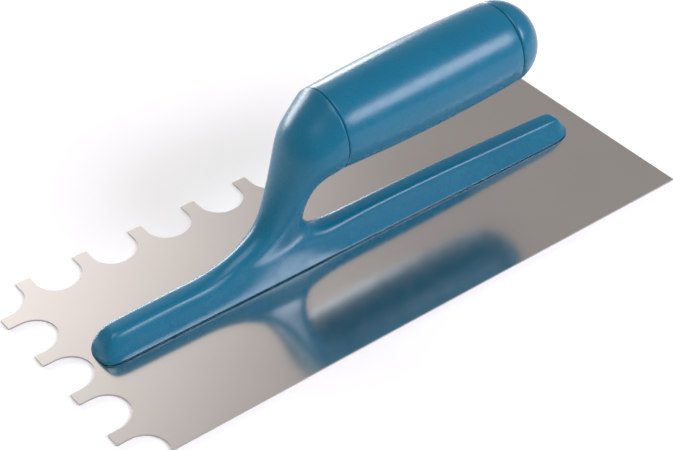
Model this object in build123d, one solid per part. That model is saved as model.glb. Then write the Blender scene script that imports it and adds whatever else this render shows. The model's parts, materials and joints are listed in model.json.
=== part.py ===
from build123d import *
import os
from math import cos, pi, radians, sin, sqrt, tan

# Notched trowel, in millimetres, +Z up. The origin is the centre of the blade's underside.
# +X runs towards the plain short edge and the free end of the grip, +Y towards the notched long edge.

# Blade: a flat stainless sheet, notched along the short edge at -X and the long edge at +Y.
BLADE_LENGTH = 280.0
BLADE_WIDTH = 120.0
BLADE_THICKNESS = 0.7
NOTCH_RADIUS = 10.4
NOTCH_PITCH = 27.5
NOTCH_CENTRE_DEPTH = 5.4  # from the edge to the centre of the notch's round bottom

# Foot rail of the handle frame, a drafted bar lying along the blade with a blunt nose at each end.
RAIL_TOE_X = -121.5
RAIL_HEEL_X = 127.6
RAIL_BASE_WIDTH = 17.5
RAIL_TOP_WIDTH = 7.6
RAIL_HEIGHT = 12.8
RAIL_CORNER_RADIUS = 8.2
RAIL_SLOPE_X = 42.0  # the top falls and narrows from here to the heel
RAIL_HEEL_DROP = 3.7
RAIL_HEEL_TOP_WIDTH = 6.4
RAIL_SPLIT_X = -30.0  # under the neck, where the soft top edges of the toe end
TOE_EDGE_RADIUS = 2.6
TOE_NOSE_LENGTH = 13.5
HEEL_NOSE_LENGTH = 12.0
NOSE_TAPER = 16.0  # degrees the noses lean in all round, which rounds their upper corners
NOSE_FULLNESS = 0.74  # how far out the middle of a nose's arc stands, from its base to its end

# Neck: ovals across it from the rail up to the grip's seam.
# Each is its front point and back point in the XZ plane, and its half width along Y.
NECK_STATIONS = [
    ((-67.2, 12.6), (-14.2, 12.0), 4.6),
    ((-57.0, 16.3), (-17.4, 15.5), 5.0),
    ((-40.4, 26.2), (-20.7, 25.0), 8.0),
    ((-35.2, 36.0), (-19.6, 36.0), 10.0),
    ((-27.7, 53.2), (-16.1, 41.7), 12.9),
    ((-21.7, 65.7), (-12.5, 43.2), 15.8),
    ((-14.8, 73.3), (-9.5, 43.5), 17.3),
]
OVAL_POINTS = 16

# Grip: sleeve and cap, round about an axis that rises slightly towards the free end.
# Places along the grip are measured on that axis from the neck's seam.
SEAM_X = -7.0
SEAM_Z = 61.5
GRIP_TILT = 1.63  # degrees
SLEEVE_LENGTH = 92.5
SLEEVE_FRONT_RADIUS = 18.0
SLEEVE_BELLY_RADIUS = 19.6
SLEEVE_END_RADIUS = 18.5
SLEEVE_WALL = 3.2
SLEEVE_COLLAR = 4.0
SLEEVE_RIB_COUNT = 6
SLEEVE_RIB_THICKNESS = 2.2
CAP_LENGTH = 17.0
SEAM_CHAMFER = 0.45

# Tang: the part of the frame that runs inside the sleeve, up to the sleeve's inner wall.
TANG_RADIUS = 8.5
TANG_LENGTH = 78.0
TANG_CLEARANCE = 0.15
INNER_WALL_THICKNESS = 3.0

# Cap: a hollow dome with a spigot that plugs into the sleeve.
SPIGOT_LENGTH = 7.0
SPIGOT_CLEARANCE = 0.15
CAP_BORE_RADIUS = 12.0
CAP_BORE_DEPTH = 5.0  # beyond the seam
CAP_HOLLOW_DEPTH = 11.5
CAP_HOLLOW_TIP_RADIUS = 5.0

# Screw, washer and threaded insert that hold the sleeve on the tang.
SCREW_RADIUS = 2.5
SCREW_LENGTH = 24.0
SCREW_HEAD_RADIUS = 4.7
SCREW_HEAD_HEIGHT = 3.4
HEX_SOCKET_RADIUS = 2.3
HEX_SOCKET_DEPTH = 2.2
SCREW_CLEARANCE = 0.3
WASHER_RADIUS = 7.0
WASHER_THICKNESS = 1.2
INSERT_RADIUS = 4.0
INSERT_LENGTH = 14.0

# Backing strip moulded into the rail, and the rivets that hold the blade to it.
STRIP_LENGTH = 232.0
STRIP_THICKNESS = 2.5
STRIP_LOWER_WIDTH = 8.0
STRIP_UPPER_WIDTH = 10.0
RIVET_COUNT = 7
RIVET_PITCH = 36.0
RIVET_RADIUS = 2.0
RIVET_HEAD_RADIUS = 3.4
CLENCH_RADIUS = 3.2
CLENCH_HEIGHT = 1.4
CLENCH_CLEARANCE = 0.4

RAIL_MID_X = (RAIL_TOE_X + RAIL_HEEL_X) / 2
RAIL_TOP_Z = BLADE_THICKNESS + RAIL_HEIGHT
STRIP_TOP_Z = BLADE_THICKNESS + STRIP_THICKNESS
INNER_WALL_END = TANG_LENGTH + INNER_WALL_THICKNESS
WASHER_END = INNER_WALL_END + WASHER_THICKNESS

# Moves a piece drawn along the X axis onto the grip's axis.
GRIP_PLACE = Pos(SEAM_X, 0, SEAM_Z) * Rot(0, -GRIP_TILT, 0)


def rivet_places():
    """Rivet axes in a row along the rail."""
    first = RAIL_MID_X - RIVET_PITCH * (RIVET_COUNT - 1) / 2
    return [(first + RIVET_PITCH * index, 0) for index in range(RIVET_COUNT)]


def upright(x, y, z, radius, height, top_radius=None):
    """Upright round bar or cone standing on height z."""
    if top_radius is None:
        return Pos(x, y, z + height / 2) * Cylinder(radius, height)
    return Pos(x, y, z + height / 2) * Cone(radius, top_radius, height)


def bar(radius, start, end):
    """Round bar along the X axis."""
    return Plane.YZ.offset(start) * extrude(Circle(radius), end - start)


def notch(towards_edge):
    """Round-bottomed notch outline at the origin, open towards the given angle."""
    mouth = NOTCH_CENTRE_DEPTH * 2
    slot = Circle(NOTCH_RADIUS) + Pos(mouth / 2, 0) * Rectangle(mouth, NOTCH_RADIUS * 2)
    return Rot(0, 0, towards_edge) * slot


def trapezoid(base_width, top_width, top_z):
    """Section of a bar that stands on the blade, with its width along the section's first axis."""
    base = base_width / 2
    top = top_width / 2
    corners = [(-base, BLADE_THICKNESS), (base, BLADE_THICKNESS), (top, top_z), (-top, top_z)]
    return make_face(Polyline(*corners, close=True))


def make_blade():
    """Sheet with both rows of notches, sharing one at their corner, and countersunk rivet holes."""
    outline = Rectangle(BLADE_LENGTH, BLADE_WIDTH)
    first_x = -BLADE_LENGTH / 2 + NOTCH_CENTRE_DEPTH
    first_y = BLADE_WIDTH / 2 - NOTCH_CENTRE_DEPTH
    for index in range(int(BLADE_WIDTH / NOTCH_PITCH) + 1):
        outline -= Pos(first_x, first_y - NOTCH_PITCH * index) * notch(180)
    for index in range(int(BLADE_LENGTH / NOTCH_PITCH) + 1):
        outline -= Pos(first_x + NOTCH_PITCH * index, first_y) * notch(90)
    blade = extrude(outline, BLADE_THICKNESS)
    for x, y in rivet_places():
        blade -= upright(x, y, 0, RIVET_HEAD_RADIUS, BLADE_THICKNESS, RIVET_RADIUS)
    return blade


def strip_bar():
    """Dovetail bar that fills the slot in the rail's underside."""
    section = trapezoid(STRIP_LOWER_WIDTH, STRIP_UPPER_WIDTH, STRIP_TOP_Z)
    return Plane.YZ.offset(RAIL_MID_X - STRIP_LENGTH / 2) * extrude(section, STRIP_LENGTH)


def make_strip():
    strip = strip_bar()
    for x, y in rivet_places():
        strip -= upright(x, y, 0, RIVET_RADIUS, STRIP_TOP_Z + 1)
    return strip


def make_rivets():
    """Flush countersunk heads below the blade and clenched ends above the strip."""
    rivets = []
    for x, y in rivet_places():
        head = upright(x, y, 0, RIVET_HEAD_RADIUS, BLADE_THICKNESS, RIVET_RADIUS)
        shank = upright(x, y, BLADE_THICKNESS, RIVET_RADIUS, STRIP_THICKNESS)
        clench = upright(x, y, STRIP_TOP_Z, CLENCH_RADIUS, CLENCH_HEIGHT)
        clench = chamfer(clench.edges().sort_by(Axis.Z)[-1], CLENCH_HEIGHT / 2)
        rivets.append(head + shank + clench)
    return Compound(children=rivets)


def nose(tip_x, length, top_z):
    """Side view of one nose: an arc from the blade's face up to the rail's top."""
    height = top_z - BLADE_THICKNESS
    middle = (tip_x - length * (1 - NOSE_FULLNESS), BLADE_THICKNESS + height * NOSE_FULLNESS)
    return ThreePointArc((tip_x, BLADE_THICKNESS), middle, (tip_x - length, top_z))


def make_rail():
    """Drafted bar. Its top is level as far as the slope and falls towards the heel."""
    level = trapezoid(RAIL_BASE_WIDTH, RAIL_TOP_WIDTH, RAIL_TOP_Z)
    low = trapezoid(RAIL_BASE_WIDTH, RAIL_HEEL_TOP_WIDTH, RAIL_TOP_Z - RAIL_HEEL_DROP)
    toe = Plane.YZ.offset(RAIL_TOE_X) * extrude(level, RAIL_SPLIT_X - RAIL_TOE_X)
    toe = fillet(toe.edges().filter_by(Axis.X).group_by(Axis.Z)[-1], TOE_EDGE_RADIUS)
    middle = Plane.YZ.offset(RAIL_SPLIT_X) * extrude(level, RAIL_SLOPE_X - RAIL_SPLIT_X)
    heel = loft([Plane.YZ.offset(RAIL_SLOPE_X) * level, Plane.YZ.offset(RAIL_HEEL_X) * low], ruled=True)

    toe_nose = nose(RAIL_TOE_X, -TOE_NOSE_LENGTH, RAIL_TOP_Z)
    heel_nose = nose(RAIL_HEEL_X, HEEL_NOSE_LENGTH, RAIL_TOP_Z - RAIL_HEEL_DROP)
    roof = Polyline(toe_nose @ 1, (RAIL_SLOPE_X, RAIL_TOP_Z), heel_nose @ 1)
    side_view = make_face(toe_nose + roof + heel_nose + Line(heel_nose @ 0, toe_nose @ 0))
    side_view = Plane.XZ * side_view
    length = RAIL_HEEL_X - RAIL_TOE_X
    spare = 2 * BLADE_THICKNESS * tan(radians(NOSE_TAPER))
    plan_view = RectangleRounded(length + spare, RAIL_BASE_WIDTH + 2 * spare, RAIL_CORNER_RADIUS)
    plan_view = Pos(RAIL_MID_X, 0, 0) * plan_view
    rail = (toe + middle + heel) & extrude(side_view, RAIL_BASE_WIDTH, both=True)
    return rail & extrude(plan_view, RAIL_TOP_Z + 1, taper=NOSE_TAPER)


def neck_section(front, back, half_width):
    """Oval across the neck between a front and a back point in the XZ plane."""
    front = Vector(front[0], 0, front[1])
    back = Vector(back[0], 0, back[1])
    centre = (front + back) / 2
    reach = (front - back) / 2
    side = Vector(0, half_width, 0)
    turns = [2 * pi * index / OVAL_POINTS for index in range(OVAL_POINTS)]
    points = [centre + reach * cos(turn) + side * sin(turn) for turn in turns]
    return make_face(Spline(*points, periodic=True))


def make_neck():
    """Lofted neck that ends in the round seam face of the grip."""
    top = (GRIP_PLACE * Pos(0, 0, SLEEVE_FRONT_RADIUS)).position
    bottom = (GRIP_PLACE * Pos(0, 0, -SLEEVE_FRONT_RADIUS)).position
    seam = ((top.X, top.Z), (bottom.X, bottom.Z), SLEEVE_FRONT_RADIUS)
    return loft([neck_section(*station) for station in [*NECK_STATIONS, seam]])


def make_frame():
    """Rail, neck and tang in one moulding, with a slot for the strip and pockets for the rivets."""
    tang = bar(TANG_RADIUS, -1, TANG_LENGTH)
    tang -= bar(INSERT_RADIUS, TANG_LENGTH - INSERT_LENGTH, TANG_LENGTH)
    tang -= bar(SCREW_RADIUS + SCREW_CLEARANCE, WASHER_END - SCREW_LENGTH - 1, TANG_LENGTH)
    frame = make_rail() + make_neck() + GRIP_PLACE * tang
    frame -= strip_bar()
    for x, y in rivet_places():
        radius = CLENCH_RADIUS + CLENCH_CLEARANCE
        frame -= upright(x, y, STRIP_TOP_Z, radius, CLENCH_HEIGHT + CLENCH_CLEARANCE)
    return frame


def grip_core(inset):
    """Barrel of the sleeve's shape, smaller all round by the inset."""
    front = SLEEVE_FRONT_RADIUS - inset
    belly = SLEEVE_BELLY_RADIUS - inset
    end = SLEEVE_END_RADIUS - inset
    arc = ThreePointArc((0, front), (SLEEVE_LENGTH / 2, belly), (SLEEVE_LENGTH, end))
    outline = arc + Polyline((SLEEVE_LENGTH, end), (SLEEVE_LENGTH, 0), (0, 0), (0, front))
    return revolve(make_face(outline), Axis.X)


def make_sleeve():
    """Barrel shell with a collar, inner ribs and an inner wall that the screw pulls on."""
    shell = grip_core(0)
    shell = chamfer(shell.edges().filter_by(GeomType.CIRCLE), SEAM_CHAMFER)
    hollow = grip_core(SLEEVE_WALL)
    ribs = Part()
    rib = Pos(SLEEVE_LENGTH / 2, 0, SLEEVE_BELLY_RADIUS / 2)
    rib *= Box(SLEEVE_LENGTH, SLEEVE_RIB_THICKNESS, SLEEVE_BELLY_RADIUS)
    for index in range(SLEEVE_RIB_COUNT):
        ribs += Rot(360 / SLEEVE_RIB_COUNT * index, 0, 0) * rib
    shell -= hollow & bar(SLEEVE_BELLY_RADIUS, SLEEVE_COLLAR, TANG_LENGTH) - ribs
    shell -= bar(TANG_RADIUS + TANG_CLEARANCE, 0, TANG_LENGTH)
    shell -= bar(SCREW_RADIUS + SCREW_CLEARANCE, TANG_LENGTH, INNER_WALL_END)
    shell -= bar(SLEEVE_END_RADIUS - SLEEVE_WALL, INNER_WALL_END, SLEEVE_LENGTH)
    return GRIP_PLACE * shell


def make_cap():
    """Hollow dome that closes the sleeve."""
    tip = (SLEEVE_LENGTH + CAP_LENGTH, 0)
    shoulder = (SLEEVE_LENGTH + CAP_LENGTH * sqrt(0.5), SLEEVE_END_RADIUS * sqrt(0.5))
    dome_arc = ThreePointArc((SLEEVE_LENGTH, SLEEVE_END_RADIUS), shoulder, tip)
    outline = dome_arc + Polyline(tip, (SLEEVE_LENGTH, 0), (SLEEVE_LENGTH, SLEEVE_END_RADIUS))
    cap = revolve(make_face(outline), Axis.X)
    cap = chamfer(cap.edges().filter_by(GeomType.CIRCLE).sort_by(Axis.X)[0], SEAM_CHAMFER)
    spigot_radius = SLEEVE_END_RADIUS - SLEEVE_WALL - SPIGOT_CLEARANCE
    cap += bar(spigot_radius, SLEEVE_LENGTH - SPIGOT_LENGTH, SLEEVE_LENGTH)
    bore_end = SLEEVE_LENGTH + CAP_BORE_DEPTH
    cap -= bar(CAP_BORE_RADIUS, SLEEVE_LENGTH - SPIGOT_LENGTH, bore_end)
    taper_depth = CAP_HOLLOW_DEPTH - CAP_BORE_DEPTH
    taper = Cone(CAP_BORE_RADIUS, CAP_HOLLOW_TIP_RADIUS, taper_depth)
    cap -= Pos(bore_end + taper_depth / 2, 0, 0) * Rot(0, 90, 0) * taper
    return GRIP_PLACE * cap


def make_screw():
    """Cap screw with a hexagon socket, its head facing the free end."""
    head_end = WASHER_END + SCREW_HEAD_HEIGHT
    screw = bar(SCREW_RADIUS, WASHER_END - SCREW_LENGTH, WASHER_END)
    screw += bar(SCREW_HEAD_RADIUS, WASHER_END, head_end)
    socket = extrude(RegularPolygon(HEX_SOCKET_RADIUS, 6), HEX_SOCKET_DEPTH)
    screw -= Plane.YZ.offset(head_end - HEX_SOCKET_DEPTH) * socket
    return GRIP_PLACE * screw


def make_washer():
    washer = bar(WASHER_RADIUS, INNER_WALL_END, WASHER_END)
    return GRIP_PLACE * (washer - bar(SCREW_RADIUS + SCREW_CLEARANCE, INNER_WALL_END, WASHER_END))


def make_insert():
    insert = bar(INSERT_RADIUS, TANG_LENGTH - INSERT_LENGTH, TANG_LENGTH)
    return GRIP_PLACE * (insert - bar(SCREW_RADIUS, TANG_LENGTH - INSERT_LENGTH, TANG_LENGTH))


NODES = {
    "blade": make_blade,
    "backing_strip": make_strip,
    "blade_rivets": make_rivets,
    "handle_frame": make_frame,
    "grip_sleeve": make_sleeve,
    "tang_insert": make_insert,
    "grip_washer": make_washer,
    "grip_screw": make_screw,
    "end_cap": make_cap,
}

os.makedirs("parts", exist_ok=True)
for name, make in NODES.items():
    export_step(make(), f"parts/{name}.step")
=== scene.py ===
import json
from math import cos, pi, radians, sin

import bmesh
import bpy
from mathutils import Euler, Matrix, Vector

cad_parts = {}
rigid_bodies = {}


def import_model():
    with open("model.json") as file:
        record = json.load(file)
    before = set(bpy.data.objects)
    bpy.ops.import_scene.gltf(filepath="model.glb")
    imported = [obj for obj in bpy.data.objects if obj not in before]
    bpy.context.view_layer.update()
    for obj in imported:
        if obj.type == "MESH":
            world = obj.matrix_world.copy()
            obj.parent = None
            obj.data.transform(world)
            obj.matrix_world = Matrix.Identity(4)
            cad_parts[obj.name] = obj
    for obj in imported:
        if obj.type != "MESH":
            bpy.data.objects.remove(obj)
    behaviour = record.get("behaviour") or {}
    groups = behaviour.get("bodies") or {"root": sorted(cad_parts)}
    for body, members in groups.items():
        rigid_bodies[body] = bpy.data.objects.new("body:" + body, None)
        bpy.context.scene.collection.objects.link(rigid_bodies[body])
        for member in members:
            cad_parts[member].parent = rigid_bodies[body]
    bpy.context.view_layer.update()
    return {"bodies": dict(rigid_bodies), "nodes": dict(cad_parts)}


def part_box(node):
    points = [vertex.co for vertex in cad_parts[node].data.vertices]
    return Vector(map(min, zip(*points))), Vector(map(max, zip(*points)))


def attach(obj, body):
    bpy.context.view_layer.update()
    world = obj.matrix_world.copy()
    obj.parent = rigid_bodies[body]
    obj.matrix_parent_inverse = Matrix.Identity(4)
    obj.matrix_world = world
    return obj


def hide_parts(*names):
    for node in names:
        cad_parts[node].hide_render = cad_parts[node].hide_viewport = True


bl_info = {
    "name": "Notched Trowel",
    "version": (1, 0, 0),
    "blender": (4, 5, 0),
    "location": "View3D > Sidebar > Trowel",
    "description": "Builds the looks of a notched trowel around its CAD frame",
    "category": "Object",
}

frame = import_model()
BODY = next(iter(frame["bodies"]))
MM = 0.001

# Places that the CAD frame gives.
BLADE_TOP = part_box("blade")[1].z
TOE_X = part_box("handle_frame")[0].x
HEEL_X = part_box("handle_frame")[1].x

# The grip's axis: it starts at the centre of the neck's seam and rises towards the free end.
SEAM_CENTRE = Vector((-7 * MM, 0, 61.5 * MM))
GRIP_TILT = radians(1.63)
GRIP_PLACE = Matrix.Translation(SEAM_CENTRE) @ Matrix.Rotation(-GRIP_TILT, 4, "Y")

# Rail of the handle, from toe to heel, in millimetres: place along the blade, half widths at the
# base and at the top, height of the top, and how far the top stands back towards the middle.
RAIL_STATIONS = [
    (TOE_X / MM, 4.9, 2.6, 10.4, 4.8),
    (-119.4, 7.7, 3.4, 12.2, 4.2),
    (-115.0, 8.8, 3.8, 12.9, 2.6),
    (-106.0, 8.8, 3.9, 13.2, 0.8),
    (-90.0, 8.75, 3.9, 13.4, 0),
    (-70.0, 8.75, 4.2, 13.5, 0),
    (-58.0, 8.75, 5.2, 13.5, 0),
    (-46.0, 8.75, 6.6, 13.5, 0),
    (-34.0, 8.75, 7.4, 13.5, 0),
    (-22.0, 8.75, 7.0, 13.5, 0),
    (-9.0, 8.75, 4.6, 13.5, 0),
    (4.0, 8.75, 3.8, 13.5, 0),
    (42.0, 8.75, 3.8, 13.5, 0),
    (85.0, 8.75, 3.5, 11.7, 0),
    (112.0, 8.75, 3.3, 10.6, -0.5),
    (119.5, 8.6, 3.2, 10.4, -1.6),
    (125.0, 7.3, 3.0, 9.9, -3.0),
    (HEEL_X / MM, 4.4, 2.6, 8.6, -4.2),
]
NECK_FIRST = 5  # stations between which the neck grows out of the rail's top
NECK_LAST = 10
FOOT_STEP = 1.2  # mm the foot is drawn in, which leaves a fine shadow line at the blade
FLANK_ROWS = (0.06, 0.45, 0.82)  # rows of the flank between its base and its top

# From the toe to the neck's back, the rows above the lowest one are pulled down by a power, and
# the flank keeps its width up to near the top by another, which gives the top its soft edge.
LOW_ROW_END = 0.2
ROW_POWER = 1.6
FLANK_POWER = 1.7

TOUCH = 0.01 * MM  # places closer than this count as the same
FOOT_LEVEL = BLADE_TOP + TOUCH  # points below this are on the rail's foot
STEP_LEVEL = BLADE_TOP + 1.3 * MM  # points below this are on the foot or on the row above it

# Neck: ovals up to the seam, in millimetres. Each is its front and back point seen from the side,
# along the blade and up, and its half width.
NECK_OVALS = [
    ((-59.0, 16.0), (-14.6, 16.0), 6.9),
    ((-49.0, 20.4), (-19.2, 20.2), 7.3),
    ((-41.0, 26.2), (-20.9, 25.4), 8.3),
    ((-35.6, 36.0), (-19.9, 34.0), 10.0),
    ((-31.2, 45.5), (-18.6, 39.0), 11.6),
    ((-28.0, 54.5), (-16.0, 42.0), 13.2),
    ((-23.6, 66.2), (-12.5, 43.2), 15.8),
    ((-15.0, 72.9), (-9.8, 43.4), 17.4),
]
OVAL_TURNS = [radians(15 + 30 * step) for step in range(NECK_LAST - NECK_FIRST + 1)]
OVAL_SWELL = 6 / (4 + 2 * cos(radians(30)))  # makes up for how a smoothed ring of twelve shrinks

TANG_LENGTH = 78 * MM
AIM = Vector((0, 0, 0.03))  # the point that the lights face


def length_property(name, description, millimetres):
    return bpy.props.FloatProperty(
        name=name, description=description, default=millimetres * MM, unit="LENGTH"
    )


def crease_property(name, description, default):
    return bpy.props.FloatProperty(
        name=name, description=description, default=default, min=0, max=1, subtype="FACTOR"
    )


def colour_property(name, description, default):
    return bpy.props.FloatVectorProperty(
        name=name, description=description, default=default, size=3, subtype="COLOR"
    )


class TrowelSizes(bpy.types.PropertyGroup):
    toe_crease: crease_property("Toe crease", "How sharp the rail's top edges are at the toe", 0.25)
    grip_crease: crease_property("Grip crease", "How sharp those edges are under the grip", 0.12)
    sleeve_length: length_property("Sleeve length", "Grip sleeve between its seams", 92.5)
    front_radius: length_property("Front radius", "Grip radius at the neck", 18)
    belly_radius: length_property("Belly radius", "Grip radius at its middle", 19.6)
    end_radius: length_property("End radius", "Grip radius at the cap", 18.5)
    cap_length: length_property("Cap length", "Dome past the sleeve", 17)
    seam_bevel: length_property("Seam bevel", "Width of the bevel at the neck's seam", 0.65)
    cap_bevel: length_property("Cap bevel", "Width of the bevel at the cap's seam", 1.2)
    wall: length_property("Wall", "Wall of the sleeve", 3.2)


class TrowelColours(bpy.types.PropertyGroup):
    plastic: colour_property("Plastic", "Moulded handle", (0.002, 0.128, 0.226))
    steel: colour_property("Steel", "Polished blade", (0.76, 0.735, 0.72))
    zinc: colour_property("Zinc", "Plated strip and fastener", (0.60, 0.62, 0.64))
    brass: colour_property("Brass", "Threaded insert", (0.72, 0.50, 0.20))
    floor: colour_property("Floor", "Studio floor", (0.93, 0.93, 0.935))


# Shader nodes -----------------------------------------------------------------------------------


# Sockets of a Mix node that mixes colours.
MIX_FACTOR, MIX_A, MIX_B, MIX_RESULT = 0, 6, 7, 2


def put(tree, kind, inputs=None, **settings):
    """Adds a node. Inputs that are sockets are linked, and others are set."""
    node = tree.nodes.new(kind)
    for name, value in settings.items():
        setattr(node, name, value)
    for name, value in (inputs or {}).items():
        if isinstance(value, bpy.types.NodeSocket):
            tree.links.new(value, node.inputs[name])
        else:
            node.inputs[name].default_value = value
    return node


def new_group(name, inputs, outputs):
    """Empty shader group with vector or float inputs and float outputs."""
    tree = bpy.data.node_groups.new(name, "ShaderNodeTree")
    for label, kind, default in inputs:
        socket = tree.interface.new_socket(label, in_out="INPUT", socket_type=kind)
        if default is not None:
            socket.default_value = default
    for label in outputs:
        tree.interface.new_socket(label, in_out="OUTPUT", socket_type="NodeSocketFloat")
    return tree, tree.nodes.new("NodeGroupInput").outputs, tree.nodes.new("NodeGroupOutput")


def calc(tree, operation, first, second):
    """Result of one Math node."""
    return put(tree, "ShaderNodeMath", {0: first, 1: second}, operation=operation).outputs[0]


def spread(tree, value, low, high):
    """Stretches a range of values to run from nought to one."""
    inputs = {"Value": value, "From Min": low, "From Max": high}
    return put(tree, "ShaderNodeMapRange", inputs).outputs[0]


def cloudy_group():
    """Slow unevenness of a surface: a factor near one, for colours and roughness."""
    vector = ("Vector", "NodeSocketVector", None)
    scale = ("Scale", "NodeSocketFloat", 40.0)
    amount = ("Amount", "NodeSocketFloat", 0.1)
    tree, given, result = new_group("Cloudy", [vector, scale, amount], ["Factor"])
    inputs = {"Vector": given["Vector"], "Scale": given["Scale"], "Detail": 5.0, "Roughness": 0.6}
    noise = put(tree, "ShaderNodeTexNoise", inputs)
    centred = calc(tree, "SUBTRACT", noise.outputs[0], 0.5)
    swing = calc(tree, "MULTIPLY", centred, given["Amount"])
    inputs = {0: swing, 1: 2.0, 2: 1.0}
    factor = put(tree, "ShaderNodeMath", inputs, operation="MULTIPLY_ADD")
    tree.links.new(factor.outputs[0], result.inputs["Factor"])
    return tree


def hairline_group():
    """Fine straight marks along X: a mask of single scratches and a height for the even grain."""
    vector = ("Vector", "NodeSocketVector", None)
    scale = ("Scale", "NodeSocketFloat", 900.0)
    stretch = ("Stretch", "NodeSocketFloat", 0.02)
    rarity = ("Rarity", "NodeSocketFloat", 0.68)
    inputs = [vector, scale, stretch, rarity]
    tree, given, result = new_group("Hairlines", inputs, ["Mask", "Height"])
    parts = put(tree, "ShaderNodeSeparateXYZ", {0: given["Vector"]})
    along = calc(tree, "MULTIPLY", parts.outputs[0], given["Stretch"])
    flat = {"X": along, "Y": parts.outputs[1], "Z": parts.outputs[2]}
    place = put(tree, "ShaderNodeCombineXYZ", flat)
    inputs = {"Vector": place.outputs[0], "Scale": given["Scale"], "Detail": 3.0, "Roughness": 0.55}
    noise = put(tree, "ShaderNodeTexNoise", inputs)
    low = given["Rarity"]
    mask = spread(tree, noise.outputs[0], low, calc(tree, "ADD", low, 0.06))
    tree.links.new(mask, result.inputs["Mask"])
    tree.links.new(noise.outputs[0], result.inputs["Height"])
    return tree


def speckle_group():
    """Small scattered spots, such as dust or rubbed places."""
    vector = ("Vector", "NodeSocketVector", None)
    scale = ("Scale", "NodeSocketFloat", 300.0)
    size = ("Size", "NodeSocketFloat", 0.12)
    tree, given, result = new_group("Speckle", [vector, scale, size], ["Mask"])
    spots = put(tree, "ShaderNodeTexVoronoi", {"Vector": given["Vector"], "Scale": given["Scale"]})
    mask = spread(tree, spots.outputs["Distance"], given["Size"], 0.0)
    tree.links.new(mask, result.inputs["Mask"])
    return tree


EFFECTS = {"Cloudy": cloudy_group, "Hairlines": hairline_group, "Speckle": speckle_group}


def effect(tree, name, inputs):
    """Places a shared effect in a material, with that material's own values."""
    group = bpy.data.node_groups.get(name) or EFFECTS[name]()
    return put(tree, "ShaderNodeGroup", inputs, node_tree=group).outputs


def start_material(name, roughness, metallic=0.0):
    """Material with its uniform values set, its shader, and the Object coordinates."""
    material = bpy.data.materials.new(name)
    material.use_nodes = True
    tree = material.node_tree
    shader = tree.nodes["Principled BSDF"]
    shader.inputs["Roughness"].default_value = roughness
    shader.inputs["Metallic"].default_value = metallic
    place = tree.nodes.new("ShaderNodeTexCoord").outputs["Object"]
    return material, tree, shader, place


def over(tree, factor, below, above):
    """A colour with a plain one laid over it by a mask."""
    inputs = {MIX_FACTOR: factor, MIX_A: below, MIX_B: (*above, 1.0)}
    return put(tree, "ShaderNodeMix", inputs, data_type="RGBA").outputs[MIX_RESULT]


def tint(tree, factor, dark, light):
    """Colour between two, by a factor."""
    return over(tree, factor, (*dark, 1.0), light)


def shade_of(colour, factor):
    """A darker or lighter colour."""
    return tuple(min(1.0, channel * factor) for channel in colour)


def rough_by(tree, shader, factor, base):
    """Roughness that follows a factor near one."""
    tree.links.new(calc(tree, "MULTIPLY", factor, base), shader.inputs["Roughness"])


def bump_by(tree, shader, height, strength, distance):
    """Fine relief that follows a height."""
    inputs = {"Height": height, "Strength": strength, "Distance": distance}
    bump = put(tree, "ShaderNodeBump", inputs)
    tree.links.new(bump.outputs[0], shader.inputs["Normal"])


def plastic_material(colour):
    """Semi-gloss plastic: fine moulded skin, uneven gloss, rubbed specks and faint scuffs."""
    material, tree, shader, place = start_material("moulded_blue_plastic", 0.3)
    shader.inputs["Specular IOR Level"].default_value = 0.42
    cloud = effect(tree, "Cloudy", {"Vector": place, "Scale": 55.0, "Amount": 0.16})["Factor"]
    shift = spread(tree, cloud, 0.8, 1.2)
    blue = tint(tree, shift, shade_of(colour, 0.88), shade_of(colour, 1.12))
    inputs = {"Vector": place, "Scale": 420.0, "Stretch": 0.05, "Rarity": 0.70}
    scuffs = effect(tree, "Hairlines", inputs)
    scuff = calc(tree, "MULTIPLY", scuffs["Mask"], 0.22)
    blue = over(tree, scuff, blue, shade_of(colour, 1.9))
    specks = effect(tree, "Speckle", {"Vector": place, "Scale": 420.0, "Size": 0.14})["Mask"]
    blue = over(tree, calc(tree, "MULTIPLY", specks, 0.3), blue, (0.10, 0.26, 0.36))
    tree.links.new(blue, shader.inputs["Base Color"])
    gloss = effect(tree, "Cloudy", {"Vector": place, "Scale": 160.0, "Amount": 0.35})["Factor"]
    rough_by(tree, shader, calc(tree, "ADD", gloss, scuff), 0.27)
    skin = put(tree, "ShaderNodeTexNoise", {"Vector": place, "Scale": 1500.0, "Detail": 2.0})
    bump_by(tree, shader, skin.outputs[0], 0.10, 0.0002)
    return material


def steel_material(name, colour, grain):
    """Polished sheet: straight polishing grain, stray scratches, smudges, darker cut edges."""
    material, tree, shader, place = start_material(name, 0.16, metallic=1.0)
    inputs = {"Vector": place, "Scale": grain, "Stretch": 0.015, "Rarity": 0.70}
    lines = effect(tree, "Hairlines", inputs)
    cloud = effect(tree, "Cloudy", {"Vector": place, "Scale": 16.0, "Amount": 0.22})["Factor"]
    shift = spread(tree, cloud, 0.75, 1.25)
    metal = tint(tree, shift, shade_of(colour, 0.94), shade_of(colour, 1.05))
    metal = over(tree, calc(tree, "MULTIPLY", lines["Mask"], 0.12), metal, shade_of(colour, 0.7))
    normal = put(tree, "ShaderNodeNewGeometry").outputs["True Normal"]
    level = put(tree, "ShaderNodeSeparateXYZ", {0: normal}).outputs[2]
    upright = calc(tree, "LESS_THAN", calc(tree, "ABSOLUTE", level, 0.0), 0.5)
    metal = over(tree, calc(tree, "MULTIPLY", upright, 0.75), metal, shade_of(colour, 0.42))
    tree.links.new(metal, shader.inputs["Base Color"])
    worn = calc(tree, "ADD", cloud, calc(tree, "MULTIPLY", lines["Height"], 0.35))
    worn = calc(tree, "ADD", worn, calc(tree, "MULTIPLY", upright, 1.2))
    rough_by(tree, shader, worn, 0.125)
    bump_by(tree, shader, lines["Height"], 0.05, 0.00004)
    return material


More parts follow.
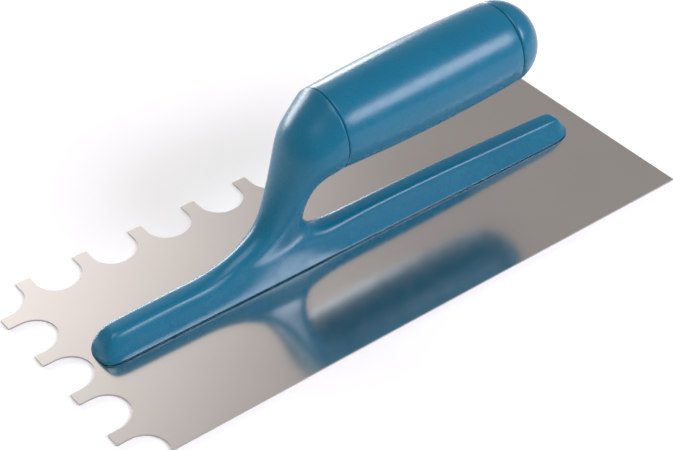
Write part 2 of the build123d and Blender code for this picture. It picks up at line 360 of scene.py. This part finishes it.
def zinc_material(colour):
    """Zinc plating: grey spangle, dull and slightly uneven."""
    material, tree, shader, place = start_material("zinc_plating", 0.4, metallic=1.0)
    spangle = put(tree, "ShaderNodeTexVoronoi", {"Vector": place, "Scale": 520.0})
    value = put(tree, "ShaderNodeSeparateXYZ", {0: spangle.outputs["Color"]}).outputs[0]
    metal = tint(tree, value, shade_of(colour, 0.82), shade_of(colour, 1.1))
    tree.links.new(metal, shader.inputs["Base Color"])
    cloud = effect(tree, "Cloudy", {"Vector": place, "Scale": 300.0, "Amount": 0.4})["Factor"]
    rough_by(tree, shader, cloud, 0.36)
    bump_by(tree, shader, value, 0.08, 0.00005)
    return material


def brass_material(colour):
    """Turned brass: fine rings round the grip's axis, with dull spots."""
    material, tree, shader, place = start_material("turned_brass", 0.28, metallic=1.0)
    inputs = {"Vector": place, "Scale": 900.0, "Distortion": 0.4, "Detail": 1.0}
    rings = put(tree, "ShaderNodeTexWave", inputs, bands_direction="X").outputs["Fac"]
    spots = effect(tree, "Speckle", {"Vector": place, "Scale": 500.0, "Size": 0.3})["Mask"]
    metal = tint(tree, rings, shade_of(colour, 0.9), shade_of(colour, 1.08))
    metal = over(tree, calc(tree, "MULTIPLY", spots, 0.5), metal, shade_of(colour, 0.55))
    tree.links.new(metal, shader.inputs["Base Color"])
    cloud = effect(tree, "Cloudy", {"Vector": place, "Scale": 250.0, "Amount": 0.3})["Factor"]
    rough_by(tree, shader, cloud, 0.28)
    bump_by(tree, shader, rings, 0.15, 0.00004)
    return material


def floor_material(colour):
    """Pale matt studio paper."""
    material, tree, shader, place = start_material("pale_studio_paper", 0.75)
    cloud = effect(tree, "Cloudy", {"Vector": place, "Scale": 3.0, "Amount": 0.06})["Factor"]
    shift = spread(tree, cloud, 0.9, 1.1)
    paper = tint(tree, shift, shade_of(colour, 0.99), shade_of(colour, 1.01))
    tree.links.new(paper, shader.inputs["Base Color"])
    fibre = put(tree, "ShaderNodeTexNoise", {"Vector": place, "Scale": 700.0, "Detail": 3.0})
    bump_by(tree, shader, fibre.outputs[0], 0.05, 0.0001)
    return material


def material_named(name, maker, *values):
    """The material if it exists already, or else a new one."""
    return bpy.data.materials.get(name) or maker(*values)


def moulded_plastic(scene):
    """The plastic that the moulding, the sleeve and the cap share."""
    colour = scene.trowel_colours.plastic
    return material_named("moulded_blue_plastic", plastic_material, colour)


# Mesh helpers -----------------------------------------------------------------------------------


def everything(bm):
    """All the mesh's elements, as bmesh operators take them."""
    return bm.verts[:] + bm.edges[:] + bm.faces[:]


def mark_sharp(bm, least_angle):
    """Smooth faces, with the edges that turn by more than an angle kept sharp."""
    for face in bm.faces:
        face.smooth = True
    for edge in bm.edges:
        if edge.calc_face_angle(0) > least_angle:
            edge.smooth = False


def finish_piece(bm, name, material, nodes):
    """Makes the object, sets what it rides on and its finish, and hides the CAD nodes it stands
    for.
    """
    bmesh.ops.recalc_face_normals(bm, faces=bm.faces)
    mesh = bpy.data.meshes.new(name)
    bm.to_mesh(mesh)
    bm.free()
    mesh.materials.append(material)
    piece = bpy.data.objects.new(name, mesh)
    bpy.context.scene.collection.objects.link(piece)
    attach(piece, BODY)
    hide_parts(*nodes)
    return piece


def lathe(profile, closed):
    """Turns an outline of (along, radius) points round the X axis."""
    bm = bmesh.new()
    points = [bm.verts.new((along, 0, radius)) for along, radius in profile]
    for first, second in zip(points, points[1:]):
        bm.edges.new((first, second))
    if closed:
        bm.edges.new((points[-1], points[0]))
    bmesh.ops.spin(
        bm,
        geom=everything(bm),
        cent=(0, 0, 0),
        axis=(1, 0, 0),
        angle=2 * pi,
        steps=96,
        use_merge=True,
    )
    bmesh.ops.remove_doubles(bm, verts=bm.verts, dist=0.001 * MM)
    bmesh.ops.recalc_face_normals(bm, faces=bm.faces)
    return bm


def bevel_rims(bm, rims, width):
    """Rounds the circles that lie at given (along, radius) places."""
    edges = []
    for edge in bm.edges:
        for along, radius in rims:
            ends = [(v.co.x - along, Vector(v.co.yz).length - radius) for v in edge.verts]
            if max(abs(aside) + abs(outwards) for aside, outwards in ends) < TOUCH:
                edges.append(edge)
    bmesh.ops.bevel(
        bm,
        geom=edges,
        offset=width,
        offset_type="OFFSET",
        segments=3,
        profile=0.5,
        affect="EDGES",
        material=-1,
    )


# Handle frame: rail, neck and tang ---------------------------------------------------------------


def rail_box():
    """Box cut across at every station, and along at every row of the flank."""
    bm = bmesh.new()
    bmesh.ops.create_cube(bm, size=1.0)
    span = HEEL_X - TOE_X
    bmesh.ops.scale(bm, vec=(span, 1, 1), verts=bm.verts)
    bmesh.ops.translate(bm, vec=((TOE_X + HEEL_X) / 2, 0, 0.5), verts=bm.verts)
    cuts = [((station[0] * MM, 0, 0), (1, 0, 0)) for station in RAIL_STATIONS[1:-1]]
    cuts += [((0, 0, row), (0, 0, 1)) for row in FLANK_ROWS]
    for place, across in cuts:
        bmesh.ops.bisect_plane(bm, geom=everything(bm), plane_co=place, plane_no=across)
    return bm


def nearest_station(along):
    """Number of the rail's station at a place along the blade."""
    gaps = [abs(station[0] * MM - along) for station in RAIL_STATIONS]
    return gaps.index(min(gaps))


def shape_rail(bm, station_of, side_of):
    """Moves the box's points onto the drafted flanks, the falling top and the two noses."""
    for vert in bm.verts:
        index = nearest_station(vert.co.x)
        along, base, top, height, set_back = RAIL_STATIONS[index]
        vert[station_of] = index
        vert[side_of] = 1 if vert.co.y > 0 else -1
        rise = vert.co.z
        draft = rise
        if index <= NECK_LAST and rise > LOW_ROW_END:
            rise **= ROW_POWER
            draft = rise**FLANK_POWER
        half_width = base + (top - base) * draft
        if rise == 0:
            half_width -= FOOT_STEP
            if index in (0, len(RAIL_STATIONS) - 1):
                along += FOOT_STEP if index == 0 else -FOOT_STEP
        vert.co.x = (along + set_back * rise**2) * MM
        vert.co.y = vert[side_of] * half_width * MM
        vert.co.z = BLADE_TOP + rise * (height * MM - BLADE_TOP)


def top_rise(station):
    """How far the rail's top stands above the blade at a station."""
    return RAIL_STATIONS[station][3] * MM - BLADE_TOP


def crease_rail(bm, crease, station_of, sizes):
    """Sharp foot and firm step above it all round, and softer top edges by the rail's parts."""
    corner = radians(10)
    level = 0.4 * MM  # ends closer in height than this belong to one row
    near_top = 0.95
    for edge in bm.edges:
        low, high = (vert.co.z for vert in edge.verts)
        first, last = sorted(vert[station_of] for vert in edge.verts)
        at_top = all(
            vert.co.z > BLADE_TOP + near_top * top_rise(vert[station_of]) for vert in edge.verts
        )
        if max(low, high) < FOOT_LEVEL and len(edge.link_faces) == 2:
            if edge.calc_face_angle(0) > corner:
                edge[crease] = 1.0
        elif max(low, high) < STEP_LEVEL and abs(low - high) < level:
            edge[crease] = 0.8
        elif at_top and first != last:
            if last <= NECK_FIRST:
                edge[crease] = sizes.toe_crease
            elif first > NECK_LAST:
                edge[crease] = sizes.grip_crease
            elif first == NECK_LAST:
                edge[crease] = sizes.grip_crease / 2


def raise_region(bm, faces):
    """Extrudes a patch of faces and returns the faces of its new end."""
    edges = {edge for face in faces for edge in face.edges}
    verts = {vert for face in faces for vert in face.verts}
    made = bmesh.ops.extrude_face_region(bm, geom=[*faces, *edges, *verts])["geom"]
    return [item for item in made if isinstance(item, bmesh.types.BMFace)]


def put_on_oval(faces, oval, station_of, side_of):
    """Moves the patch's points onto an oval across the neck."""
    front, back, half_width = oval
    front = Vector((front[0], 0, front[1])) * MM
    back = Vector((back[0], 0, back[1])) * MM
    centre = (front + back) / 2
    reach = (front - back) / 2 * OVAL_SWELL
    for vert in points_of(faces):
        turn = OVAL_TURNS[vert[station_of] - NECK_FIRST]
        side = Vector((0, vert[side_of] * half_width * MM * OVAL_SWELL, 0))
        vert.co = centre + reach * cos(turn) + side * sin(turn)


def seam_oval(back_by, radius):
    """The round end of the neck, a little before the seam or at it."""
    middle = GRIP_PLACE @ Vector((-back_by, 0, 0)) / MM
    up = GRIP_PLACE.to_3x3() @ Vector((0, 0, radius)) / MM
    return ((middle + up).xz, (middle - up).xz, radius / MM)


def raise_neck(bm, crease, station_of, side_of, sizes):
    """Grows the neck out of the rail's top, oval by oval, to its bevelled seam."""
    faces = []
    for face in bm.faces:
        stations = {vert[station_of] for vert in face.verts}
        inside = min(stations) >= NECK_FIRST and max(stations) <= NECK_LAST
        if inside and face.normal.z > 0.9:
            faces.append(face)
    for oval in NECK_OVALS:
        faces = raise_region(bm, faces)
        put_on_oval(faces, oval, station_of, side_of)
    bevel = sizes.seam_bevel
    for oval in (
        seam_oval(2 * bevel, sizes.front_radius),
        seam_oval(bevel, sizes.front_radius),
        seam_oval(0, sizes.front_radius - bevel),
    ):
        faces = raise_region(bm, faces)
        put_on_oval(faces, oval, station_of, side_of)
    sharpen({edge for face in faces for edge in face.edges}, crease, radians(20))


def points_of(faces):
    """The points of a patch, each once."""
    return list({vert for face in faces for vert in face.verts})


def sharpen(edges, crease, least_angle):
    """Keeps the edges that turn by more than an angle sharp through the smoothing."""
    for edge in edges:
        if edge.calc_face_angle(0) > least_angle:
            edge[crease] = 1.0
            edge.smooth = False


def sink_strip_slot(bm, crease):
    """Slot in the rail's foot for the backing strip and the rivets' ends."""
    margin, depth = 2.5 * MM, 4.2 * MM
    half_width, roof = 5.2 * MM, 5.5 * MM  # the slot's points lie within these
    foot = [face for face in bm.faces if all(vert.co.z < FOOT_LEVEL for vert in face.verts)]
    bmesh.ops.inset_region(bm, faces=foot, thickness=margin, use_even_offset=True)
    bottom = raise_region(bm, foot)
    bmesh.ops.translate(bm, vec=(0, 0, depth), verts=points_of(bottom))
    inside = [
        edge
        for edge in bm.edges
        if edge.is_manifold
        and all(abs(vert.co.y) < half_width and vert.co.z < roof for vert in edge.verts)
    ]
    sharpen(inside, crease, radians(40))


def add_tang(bm, crease):
    """Round bar inside the sleeve, with a bore in its end for the insert."""
    segments = 16
    swell = 6 / (4 + 2 * cos(2 * pi / segments))
    radius = 8.5 * MM * swell
    bore_wall, bore_depth = 4.5 * MM, 14 * MM
    turn = Matrix.Rotation(pi / 2, 4, "Y")
    place = GRIP_PLACE @ Matrix.Translation((TANG_LENGTH / 2, 0, 0)) @ turn
    bar = bmesh.ops.create_cone(
        bm,
        cap_ends=True,
        segments=segments,
        radius1=radius,
        radius2=radius,
        depth=TANG_LENGTH,
        matrix=place,
    )
    faces = {face for vert in bar["verts"] for face in vert.link_faces}
    tip = [max(faces, key=lambda face: face.calc_center_median().x)]
    bmesh.ops.inset_region(bm, faces=tip, thickness=bore_wall, use_even_offset=True)
    bottom = raise_region(bm, tip)
    inwards = GRIP_PLACE.to_3x3() @ Vector((-bore_depth, 0, 0))
    bmesh.ops.translate(bm, vec=inwards, verts=points_of(bottom))
    past_seam, above_rail = SEAM_CENTRE.x + 1 * MM, 40 * MM
    of_bar = []
    for edge in bm.edges:
        middle = (edge.verts[0].co + edge.verts[1].co) / 2
        if middle.x > past_seam and middle.z > above_rail:
            of_bar.append(edge)
    sharpen(of_bar, crease, radians(40))


class TROWEL_OT_handle_moulding(bpy.types.Operator):
    """Build the blue moulding: foot rail, neck and the tang inside the grip"""

    bl_idname = "trowel.handle_moulding"
    bl_label = "Handle Moulding"

    def execute(self, context):
        sizes = context.scene.trowel_sizes
        bm = rail_box()
        station_of = bm.verts.layers.int.new("station")
        side_of = bm.verts.layers.int.new("side")
        crease = bm.edges.layers.float.new("crease_edge")
        shape_rail(bm, station_of, side_of)
        bm.normal_update()
        crease_rail(bm, crease, station_of, sizes)
        for edge in bm.edges:
            edge.smooth = edge[crease] < 1.0
        raise_neck(bm, crease, station_of, side_of, sizes)
        bm.normal_update()
        sink_strip_slot(bm, crease)
        add_tang(bm, crease)
        for face in bm.faces:
            face.smooth = True
        plastic = moulded_plastic(context.scene)
        piece = finish_piece(bm, "handle_moulding", plastic, ["handle_frame"])
        smooth = piece.modifiers.new("Smooth", "SUBSURF")
        smooth.levels = 3
        smooth.render_levels = 3
        return {"FINISHED"}


# Grip ---------------------------------------------------------------------------------------------


def sleeve_radius(along, sizes):
    """Radius of the barrel, a shallow curve through its front, belly and end."""
    share = along / sizes.sleeve_length
    front = sizes.front_radius * (1 - share) * (1 - 2 * share)
    belly = sizes.belly_radius * 4 * share * (1 - share)
    end = sizes.end_radius * share * (2 * share - 1)
    return front + belly + end


class TROWEL_OT_grip_sleeve(bpy.types.Operator):
    """Build the barrel-shaped sleeve with its collar, ribs and inner wall"""

    bl_idname = "trowel.grip_sleeve"
    bl_label = "Grip Sleeve"

    def execute(self, context):
        sizes = context.scene.trowel_sizes
        length = sizes.sleeve_length
        steps = 14
        places = [length * step / steps for step in range(steps + 1)]
        outside = [(along, sleeve_radius(along, sizes)) for along in places]
        wall_start, wall_end, collar = TANG_LENGTH, TANG_LENGTH + 3 * MM, 4 * MM
        bore, screw_hole = 8.65 * MM, 2.8 * MM
        mouth = sizes.end_radius - sizes.wall
        inside = [(length, mouth), (wall_end, mouth)]
        inside += [(wall_end, screw_hole), (wall_start, screw_hole)]
        for share in (1, 0.75, 0.5, 0.25, 0):
            along = collar + (wall_start - collar) * share
            inside.append((along, sleeve_radius(along, sizes) - sizes.wall))
        inside += [(collar, bore), (0, bore)]
        bm = lathe(outside + inside, closed=True)
        bevel_rims(bm, [(0, sizes.front_radius)], sizes.seam_bevel)
        bevel_rims(bm, [(length, sizes.end_radius)], sizes.cap_bevel)
        rib_count = 6
        rib_width, rib_sink = 2.2 * MM, 0.6 * MM
        rib_length = wall_start - collar
        rib_height = sizes.front_radius - sizes.wall - bore + rib_sink
        rib_middle = (collar + rib_length / 2, 0, bore + rib_height / 2)
        for turn in range(rib_count):
            rib = bmesh.ops.create_cube(bm, size=1.0)["verts"]
            bmesh.ops.scale(bm, vec=(rib_length, rib_width, rib_height), verts=rib)
            bmesh.ops.translate(bm, vec=rib_middle, verts=rib)
            spin = Matrix.Rotation(2 * pi * turn / rib_count, 3, "X")
            bmesh.ops.rotate(bm, cent=(0, 0, 0), matrix=spin, verts=rib)
        mark_sharp(bm, radians(32))
        bmesh.ops.transform(bm, matrix=GRIP_PLACE, verts=bm.verts)
        plastic = moulded_plastic(context.scene)
        finish_piece(bm, "sleeve_barrel", plastic, ["grip_sleeve"])
        return {"FINISHED"}


class TROWEL_OT_end_cap(bpy.types.Operator):
    """Build the domed cap and its spigot, which plugs into the sleeve"""

    bl_idname = "trowel.end_cap"
    bl_label = "End Cap"

    def execute(self, context):
        sizes = context.scene.trowel_sizes
        seam = sizes.sleeve_length
        steps = 14
        turns = [pi / 2 * step / steps for step in range(steps + 1)]
        length, radius = sizes.cap_length, sizes.end_radius
        dome = [(seam + length * cos(turn), radius * sin(turn)) for turn in turns]
        clearance = 0.15 * MM
        spigot = radius - sizes.wall - clearance
        spigot_end = seam - 7 * MM
        bore, bore_end = 12 * MM, seam + 5 * MM
        roof, roof_end = 5 * MM, seam + 11.5 * MM
        hollow = [(spigot_end, spigot), (spigot_end, bore), (bore_end, bore)]
        hollow += [(roof_end, roof), (roof_end, 0)]
        bm = lathe([*dome, (seam, spigot), *hollow], closed=False)
        bevel_rims(bm, [(seam, radius)], sizes.cap_bevel)
        mark_sharp(bm, radians(32))
        bmesh.ops.transform(bm, matrix=GRIP_PLACE, verts=bm.verts)
        plastic = moulded_plastic(context.scene)
        finish_piece(bm, "cap_dome", plastic, ["end_cap"])
        return {"FINISHED"}


# Metal pieces of the CAD frame --------------------------------------------------------------------


def clothe(node, material):
    """Gives a CAD node its material."""
    mesh = frame["nodes"][node].data
    mesh.materials.clear()
    mesh.materials.append(material)


class TROWEL_OT_blade(bpy.types.Operator):
    """Finish the notched blade in polished stainless steel"""

    bl_idname = "trowel.blade"
    bl_label = "Blade"

    def execute(self, context):
        name = "polished_blade_steel"
        colour = context.scene.trowel_colours.steel
        grain = 1300.0
        clothe("blade", material_named(name, steel_material, name, colour, grain))
        return {"FINISHED"}


class TROWEL_OT_fastenings(bpy.types.Operator):
    """Finish the rivets, the backing strip and the screw, washer and insert inside the grip"""

    bl_idname = "trowel.fastenings"
    bl_label = "Fastenings"

    def execute(self, context):
        name = "rivet_steel"
        colours = context.scene.trowel_colours
        grain = 2600.0
        clothe("blade_rivets", material_named(name, steel_material, name, colours.steel, grain))
        zinc = material_named("zinc_plating", zinc_material, colours.zinc)
        for node in ("backing_strip", "grip_washer", "grip_screw"):
            clothe(node, zinc)
        clothe("tang_insert", material_named("turned_brass", brass_material, colours.brass))
        return {"FINISHED"}


# Stage --------------------------------------------------------------------------------------------


def soft_light(name, towards, distance, width, height, power, colour):
    """Area light that shines at the trowel from a direction."""
    light = bpy.data.lights.new(name, "AREA")
    light.shape = "RECTANGLE"
    light.size = width
    light.size_y = height
    light.energy = power
    light.color = colour
    lamp = bpy.data.objects.new(name, light)
    direction = Vector(towards).normalized()
    lamp.location = AIM + direction * distance
    lamp.rotation_euler = direction.to_track_quat("Z", "Y").to_euler()
    bpy.context.scene.collection.objects.link(lamp)


def brighten_behind(tree, air):
    """Soft glow in the air behind the trowel, a little to the left, over an even warm grey."""
    glow = Vector((0.219, 0.789, 0.574)).normalized()
    glow_edge, glow_falloff, glow_strength, grey_strength = 0.934, 2.0, 1.2, 0.36
    towards = tree.nodes.new("ShaderNodeTexCoord").outputs["Generated"]
    inputs = {0: towards, 1: glow}
    facing = put(tree, "ShaderNodeVectorMath", inputs, operation="DOT_PRODUCT").outputs["Value"]
    near = spread(tree, facing, glow_edge, 1.0)
    swell = calc(tree, "MULTIPLY", calc(tree, "POWER", near, glow_falloff), glow_strength)
    tree.links.new(calc(tree, "ADD", swell, grey_strength), air.inputs["Strength"])


class TROWEL_OT_stage(bpy.types.Operator):
    """Set up the pale floor, the soft studio light and the camera"""

    bl_idname = "trowel.stage"
    bl_label = "Stage"

    def execute(self, context):
        scene = context.scene
        bm = bmesh.new()
        bmesh.ops.create_grid(bm, x_segments=8, y_segments=8, size=2.5)
        mesh = bpy.data.meshes.new("studio_floor")
        bm.to_mesh(mesh)
        bm.free()
        mesh.materials.append(floor_material(scene.trowel_colours.floor))
        floor = bpy.data.objects.new("studio_floor", mesh)
        floor.location = (0, 0, -0.2 * MM)
        scene.collection.objects.link(floor)

        world = bpy.data.worlds.new("studio_air")
        world.use_nodes = True
        air = world.node_tree.nodes["Background"]
        air.inputs["Color"].default_value = (1.0, 0.945, 0.915, 1.0)
        brighten_behind(world.node_tree, air)
        scene.world = world

        soft_light("back_low_box", (0.06, 0.96, 0.15), 1.5, 1.5, 0.4, 21.0, (1.0, 0.99, 1.0))
        soft_light("front_right_box", (0.46, -0.70, 0.54), 1.4, 1.0, 0.48, 15.0, (0.90, 0.89, 1.0))
        soft_light("overhead_box", (-0.35, -0.15, 0.92), 1.5, 1.0, 1.0, 9.0, (1.0, 1.0, 1.0))

        looks_down, heading, roll = radians(39.22), radians(-36.55), radians(-1.32)
        camera = bpy.data.cameras.new("studio_camera")
        camera.lens = 96.644
        camera.sensor_width = 36
        camera.clip_end = 20
        eye = bpy.data.objects.new("studio_camera", camera)
        eye.location = (-0.3553, -0.4772, 0.4931)
        aim = Euler((pi / 2 - looks_down, 0, heading)).to_matrix()
        eye.rotation_euler = (aim @ Matrix.Rotation(roll, 3, "Z")).to_euler()
        scene.collection.objects.link(eye)
        scene.camera = eye
        scene.view_settings.view_transform = "Standard"
        return {"FINISHED"}


OPERATORS = (
    TROWEL_OT_handle_moulding,
    TROWEL_OT_grip_sleeve,
    TROWEL_OT_end_cap,
    TROWEL_OT_blade,
    TROWEL_OT_fastenings,
    TROWEL_OT_stage,
)


class TROWEL_PT_pieces(bpy.types.Panel):
    """Lists the trowel's pieces, sizes and colours"""

    bl_idname = "TROWEL_PT_pieces"
    bl_label = "Notched Trowel"
    bl_space_type = "VIEW_3D"
    bl_region_type = "UI"
    bl_category = "Trowel"

    def draw(self, context):
        column = self.layout.column()
        for group in (context.scene.trowel_sizes, context.scene.trowel_colours):
            for name in group.__annotations__:
                column.prop(group, name)
        for operator in OPERATORS:
            column.operator(operator.bl_idname)


CLASSES = (TrowelSizes, TrowelColours, *OPERATORS, TROWEL_PT_pieces)


def register():
    for cls in CLASSES:
        bpy.utils.register_class(cls)
    bpy.types.Scene.trowel_sizes = bpy.props.PointerProperty(type=TrowelSizes)
    bpy.types.Scene.trowel_colours = bpy.props.PointerProperty(type=TrowelColours)


def unregister():
    del bpy.types.Scene.trowel_colours
    del bpy.types.Scene.trowel_sizes
    for cls in reversed(CLASSES):
        bpy.utils.unregister_class(cls)


def main():
    register()
    bpy.ops.trowel.handle_moulding()
    bpy.ops.trowel.grip_sleeve()
    bpy.ops.trowel.end_cap()
    bpy.ops.trowel.blade()
    bpy.ops.trowel.fastenings()
    bpy.ops.trowel.stage()


if __name__ == "__main__":
    main()
